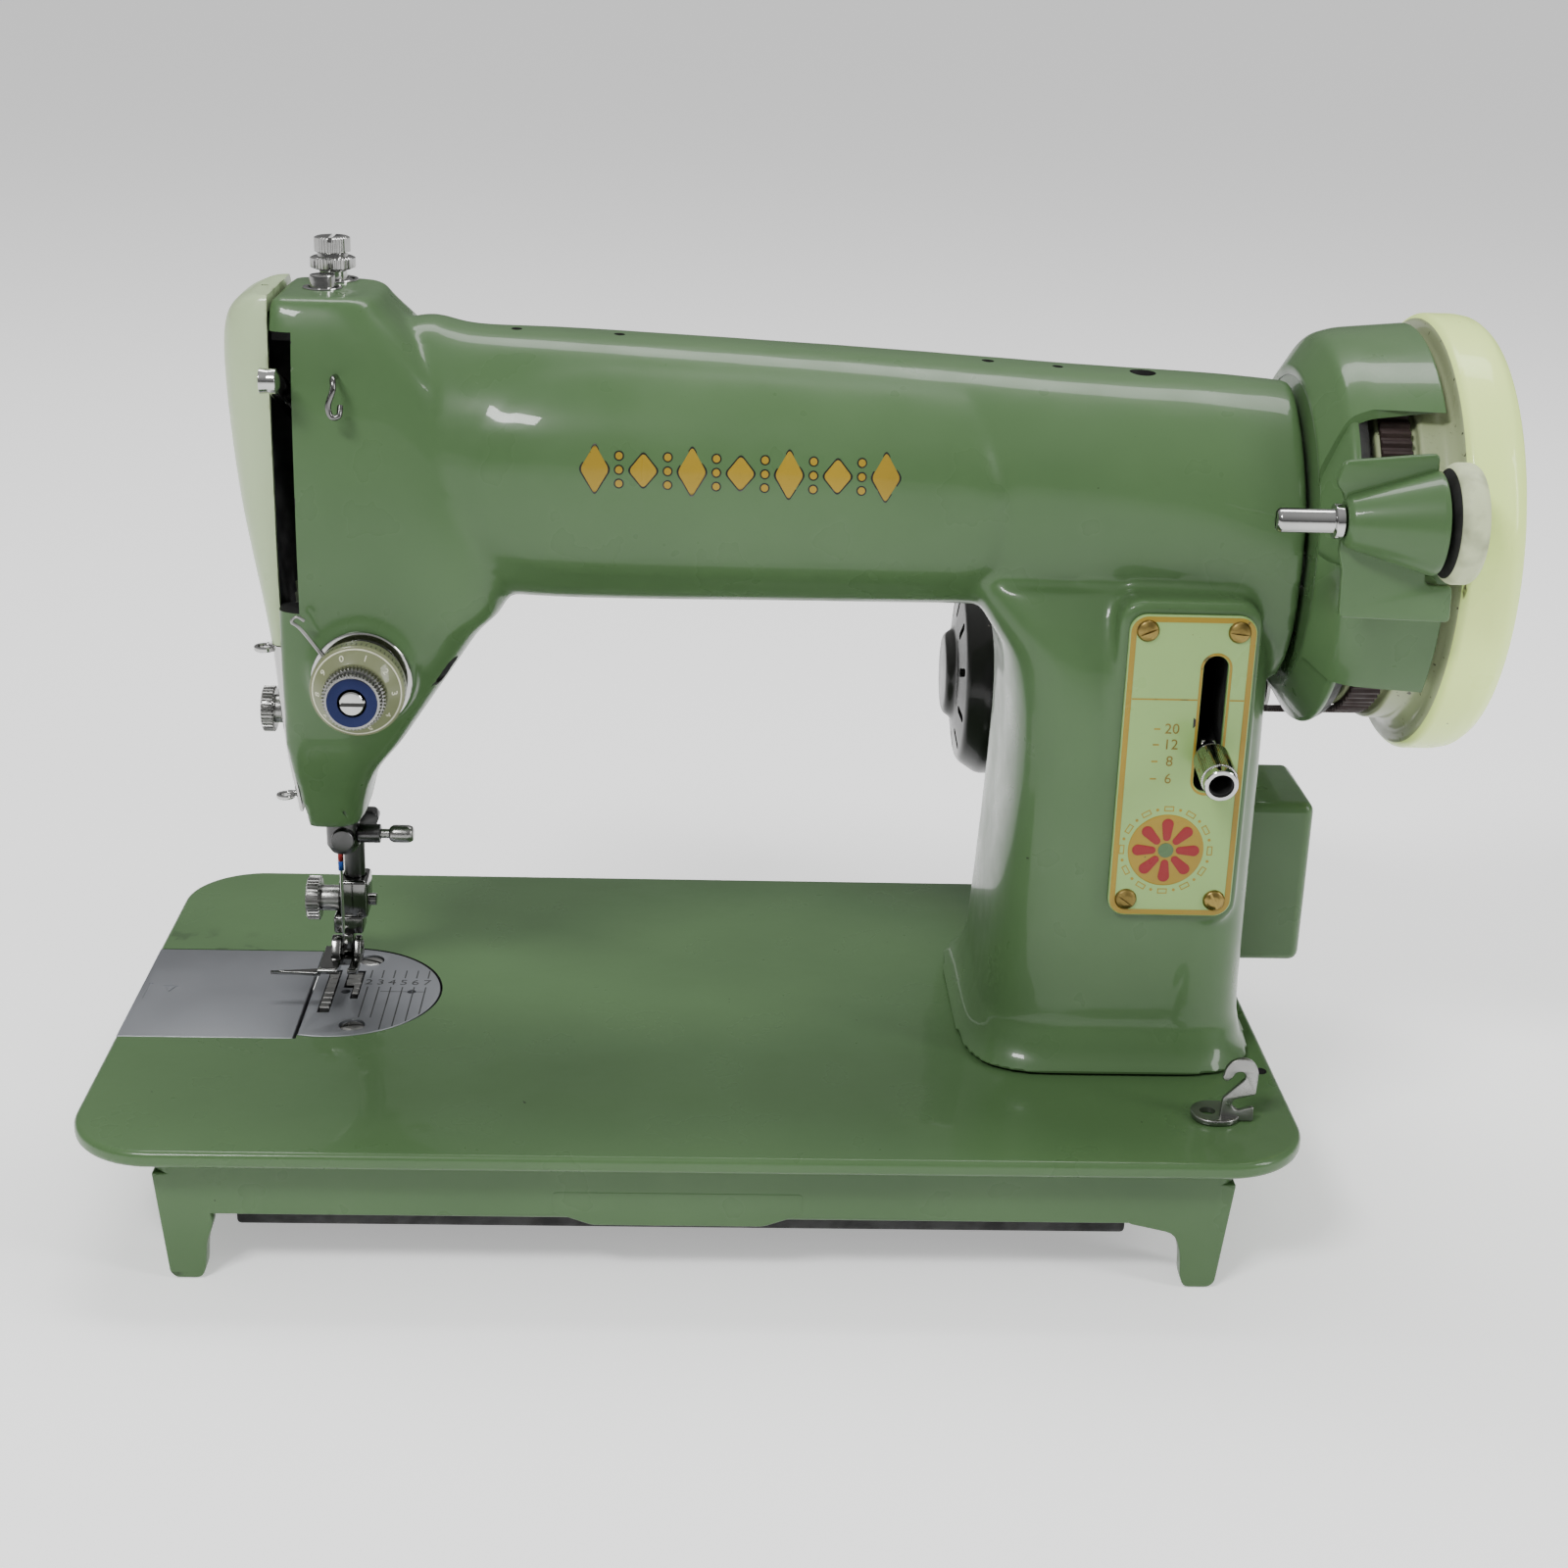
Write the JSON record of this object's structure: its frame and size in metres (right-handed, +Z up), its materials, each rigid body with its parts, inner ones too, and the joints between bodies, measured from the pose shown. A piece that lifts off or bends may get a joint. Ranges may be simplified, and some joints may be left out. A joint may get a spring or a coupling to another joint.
{
  "type": "sewing machine",
  "caption": "Portable three-quarter-size electric sewing machine in two-tone green enamel, with belt drive, bobbin winder, feed and take-up",
  "frame": {"origin": "middle of the underside of the whole object, on the table", "axes": "+X runs along the bed towards the handwheel, +Y to the back, +Z up; the operator sits at -Y"},
  "size_m": [0.355, 0.222, 0.246],
  "materials": {
    "green_enamel": "gloss stove enamel, mid green",
    "pale_enamel": "gloss enamel, light yellow green",
    "black_enamel": "black enamel",
    "bright_steel": "machined steel",
    "chrome_plate": "polished nickel and chrome plate",
    "dark_steel": "blued steel",
    "brass_fittings": "brass",
    "belt_rubber": "dark brown ribbed rubber",
    "motor_black": "black enamelled aluminium",
    "wheel_enamel": "light yellow green enamel on aluminium",
    "dial_cream": "cream filled dial",
    "iron_green": "gloss enamel on cast iron, mid green"
  },
  "bodies": {
    "frame": {"arm_casting": "iron_green", "bed_casting": "iron_green", "drip_pan": "black_enamel", "drip_pan_nut": "bright_steel", "needle_plate": "chrome_plate", "needle_plate_screw_front": "bright_steel", "needle_plate_screw_back": "bright_steel", "upper_face_cover": "pale_enamel", "lower_face_plate": "chrome_plate", "arm_thread_guide": "chrome_plate", "winder_thread_guide": "chrome_plate", "check_spring": "bright_steel", "tension_disc_rear": "bright_steel", "tension_disc_front": "bright_steel", "tension_stud": "bright_steel", "take_up_pin": "bright_steel", "shaft_bushing_left": "brass_fittings", "shaft_bushing_right": "brass_fittings", "stitch_lever_pin": "bright_steel", "stitch_plate": "pale_enamel", "belt_guard": "green_enamel", "winder_pivot_pin": "bright_steel", "motor_housing": "motor_black", "motor_belt": "belt_rubber", "terminal_box": "green_enamel", "bobbin_case": "dark_steel"},
    "face_screw": {"face_thumb_screw": "bright_steel"},
    "slide": {"slide_plate": "bright_steel"},
    "wheel": {"handwheel": "wheel_enamel", "arm_shaft": "bright_steel", "needle_crank": "bright_steel"},
    "clutch_knob": {"stop_motion_knob": "chrome_plate"},
    "rod": {"connecting_rod": "bright_steel"},
    "motor_rotor": {"motor_pulley": "bright_steel"},
    "needle_unit": {"needle_bar": "chrome_plate", "needle_clamp": "bright_steel", "needle": "chrome_plate"},
    "needle_screw": {"needle_clamp_screw": "bright_steel"},
    "link": {"needle_link": "bright_steel"},
    "take_up": {"take_up_lever": "bright_steel"},
    "presser_unit": {"presser_bar": "chrome_plate", "foot_shank": "bright_steel", "presser_spring": "bright_steel", "foot_hinge_pin": "bright_steel"},
    "foot_clamp_screw": {"foot_screw": "bright_steel"},
    "foot": {"presser_foot": "bright_steel"},
    "pressure_regulator": {"pressure_screw": "chrome_plate"},
    "lifter": {"lifter_lever": "bright_steel"},
    "tension_control": {"tension_dial": "dial_cream", "tension_knob": "dark_steel"},
    "stitch_control": {"stitch_lever": "bright_steel"},
    "hook_unit": {"hook": "bright_steel"},
    "bobbin_unit": {"bobbin": "bright_steel"},
    "feed_rocker": {"feed_rock_shaft": "bright_steel"},
    "feed_unit": {"feed_bar": "bright_steel", "feed_dog": "bright_steel"},
    "hook_rocker": {"hook_rock_shaft": "bright_steel"},
    "winder_arm": {"winder_frame": "green_enamel"},
    "winder_wheel": {"winder_spindle": "chrome_plate", "winder_tyre": "belt_rubber"}
  },
  "joints": [
    {"name": "handwheel_spin", "type": "hinge", "parent": "frame", "child": "wheel", "pos_m": [0.1475, -0.017, 0.1775], "axis": [1, 0, 0], "continuous": true},
    {"name": "stop_motion_knob_turn", "type": "hinge", "parent": "wheel", "child": "clutch_knob", "pos_m": [0.1705, -0.017, 0.1775], "axis": [1, 0, 0], "range_deg": [-60, 0]},
    {"name": "connecting_rod_swing", "type": "hinge", "parent": "wheel", "child": "rod", "pos_m": [0.089, -0.017, 0.1805], "axis": [1, 0, 0], "continuous": true},
    {"name": "motor_spin", "type": "hinge", "parent": "frame", "child": "motor_rotor", "pos_m": [0.1475, 0.08, 0.105], "axis": [1, 0, 0], "continuous": true},
    {"name": "needle_bar_stroke", "type": "slide", "parent": "frame", "child": "needle_unit", "axis": [0, 0, 1], "range_m": [-0.03, 0.0005]},
    {"name": "needle_clamp_screw_turn", "type": "hinge", "parent": "needle_unit", "child": "needle_screw", "pos_m": [-0.1065, -0.0184, 0.0876], "axis": [1, 0, 0], "range_deg": [0, 180]},
    {"name": "needle_link_swing", "type": "hinge", "parent": "needle_unit", "child": "link", "pos_m": [-0.112, -0.0184, 0.1545], "axis": [1, 0, 0], "range_deg": [-8, 25]},
    {"name": "take_up_swing", "type": "hinge", "parent": "frame", "child": "take_up", "pos_m": [-0.128, -0.0124, 0.203], "axis": [1, 0, 0], "range_deg": [-6, 50]},
    {"name": "lifter_turn", "type": "hinge", "parent": "frame", "child": "lifter", "pos_m": [-0.1195, 0.012, 0.152], "axis": [0, -1, 0], "range_deg": [-80, 0]},
    {"name": "presser_lift", "type": "slide", "parent": "frame", "child": "presser_unit", "axis": [0, 0, 1], "range_m": [-0.0062, 0], "deforming": ["presser_spring"]},
    {"name": "foot_screw_turn", "type": "hinge", "parent": "presser_unit", "child": "foot_clamp_screw", "pos_m": [-0.1305, -0.005, 0.0625], "axis": [1, 0, 0], "range_deg": [0, 180]},
    {"name": "presser_foot_tilt", "type": "hinge", "parent": "presser_unit", "child": "foot", "pos_m": [-0.1195, -0.0104, 0.0508], "axis": [-1, 0, 0], "range_deg": [0, 8]},
    {"name": "pressure_screw_turn", "type": "hinge", "parent": "frame", "child": "pressure_regulator", "pos_m": [-0.1183, -0.005, 0.24], "axis": [0, 0, 1], "range_deg": [-180, 180]},
    {"name": "tension_dial_turn", "type": "hinge", "parent": "frame", "child": "tension_control", "pos_m": [-0.1084, -0.054, 0.141], "axis": [0, 1, 0], "range_deg": [-150, 150]},
    {"name": "stitch_lever_swing", "type": "hinge", "parent": "frame", "child": "stitch_control", "pos_m": [0.1065, -0.014, 0.1375], "axis": [-1, 0, 0], "range_deg": [-3, 23]},
    {"name": "slide_plate_slide", "type": "slide", "parent": "frame", "child": "slide", "axis": [-1, 0, 0], "range_m": [0, 0.04]},
    {"name": "face_thumb_screw_turn", "type": "hinge", "parent": "frame", "child": "face_screw", "pos_m": [-0.1385, -0.016, 0.1223], "axis": [1, 0, 0], "range_deg": [0, 180]},
    {"name": "hook_swing", "type": "hinge", "parent": "frame", "child": "hook_unit", "pos_m": [-0.1361, -0.018, 0.025], "axis": [0, 0, 1], "range_deg": [-100, 100]},
    {"name": "bobbin_spin", "type": "hinge", "parent": "frame", "child": "bobbin_unit", "pos_m": [-0.1361, -0.018, 0.03], "axis": [0, 0, 1], "continuous": true},
    {"name": "feed_rock", "type": "hinge", "parent": "frame", "child": "feed_rocker", "pos_m": [-0.0225, 0.018, 0.023], "axis": [-1, 0, 0], "range_deg": [-12, 12]},
    {"name": "feed_advance", "type": "slide", "parent": "frame", "child": "feed_unit", "axis": [0, 1, 0], "range_m": [-0.0018, 0.0018]},
    {"name": "hook_rock", "type": "hinge", "parent": "frame", "child": "hook_rocker", "pos_m": [-0.0225, -0.036, 0.023], "axis": [1, 0, 0], "range_deg": [-8, 8]},
    {"name": "winder_engage", "type": "hinge", "parent": "frame", "child": "winder_arm", "pos_m": [0.1475, -0.0745, 0.1765], "axis": [-1, 0, 0], "range_deg": [0, 13]},
    {"name": "winder_spin", "type": "hinge", "parent": "winder_arm", "child": "winder_wheel", "pos_m": [0.1475, -0.082, 0.1963], "axis": [1, 0, 0], "continuous": true}
  ],
  "couplings": [
    {"joint": "motor_spin", "follows": "handwheel_spin", "ratio": 5.1889},
    {"joint": "connecting_rod_swing", "follows": "handwheel_spin", "ratio": -1},
    {"joint": "lifter_turn", "follows": "presser_lift", "rad_per_m": 224.75},
    {"joint": "feed_rock", "follows": "feed_advance", "rad_per_m": 116.12},
    {"joint": "hook_swing", "follows": "hook_rock", "ratio": 12.4}
  ]
}
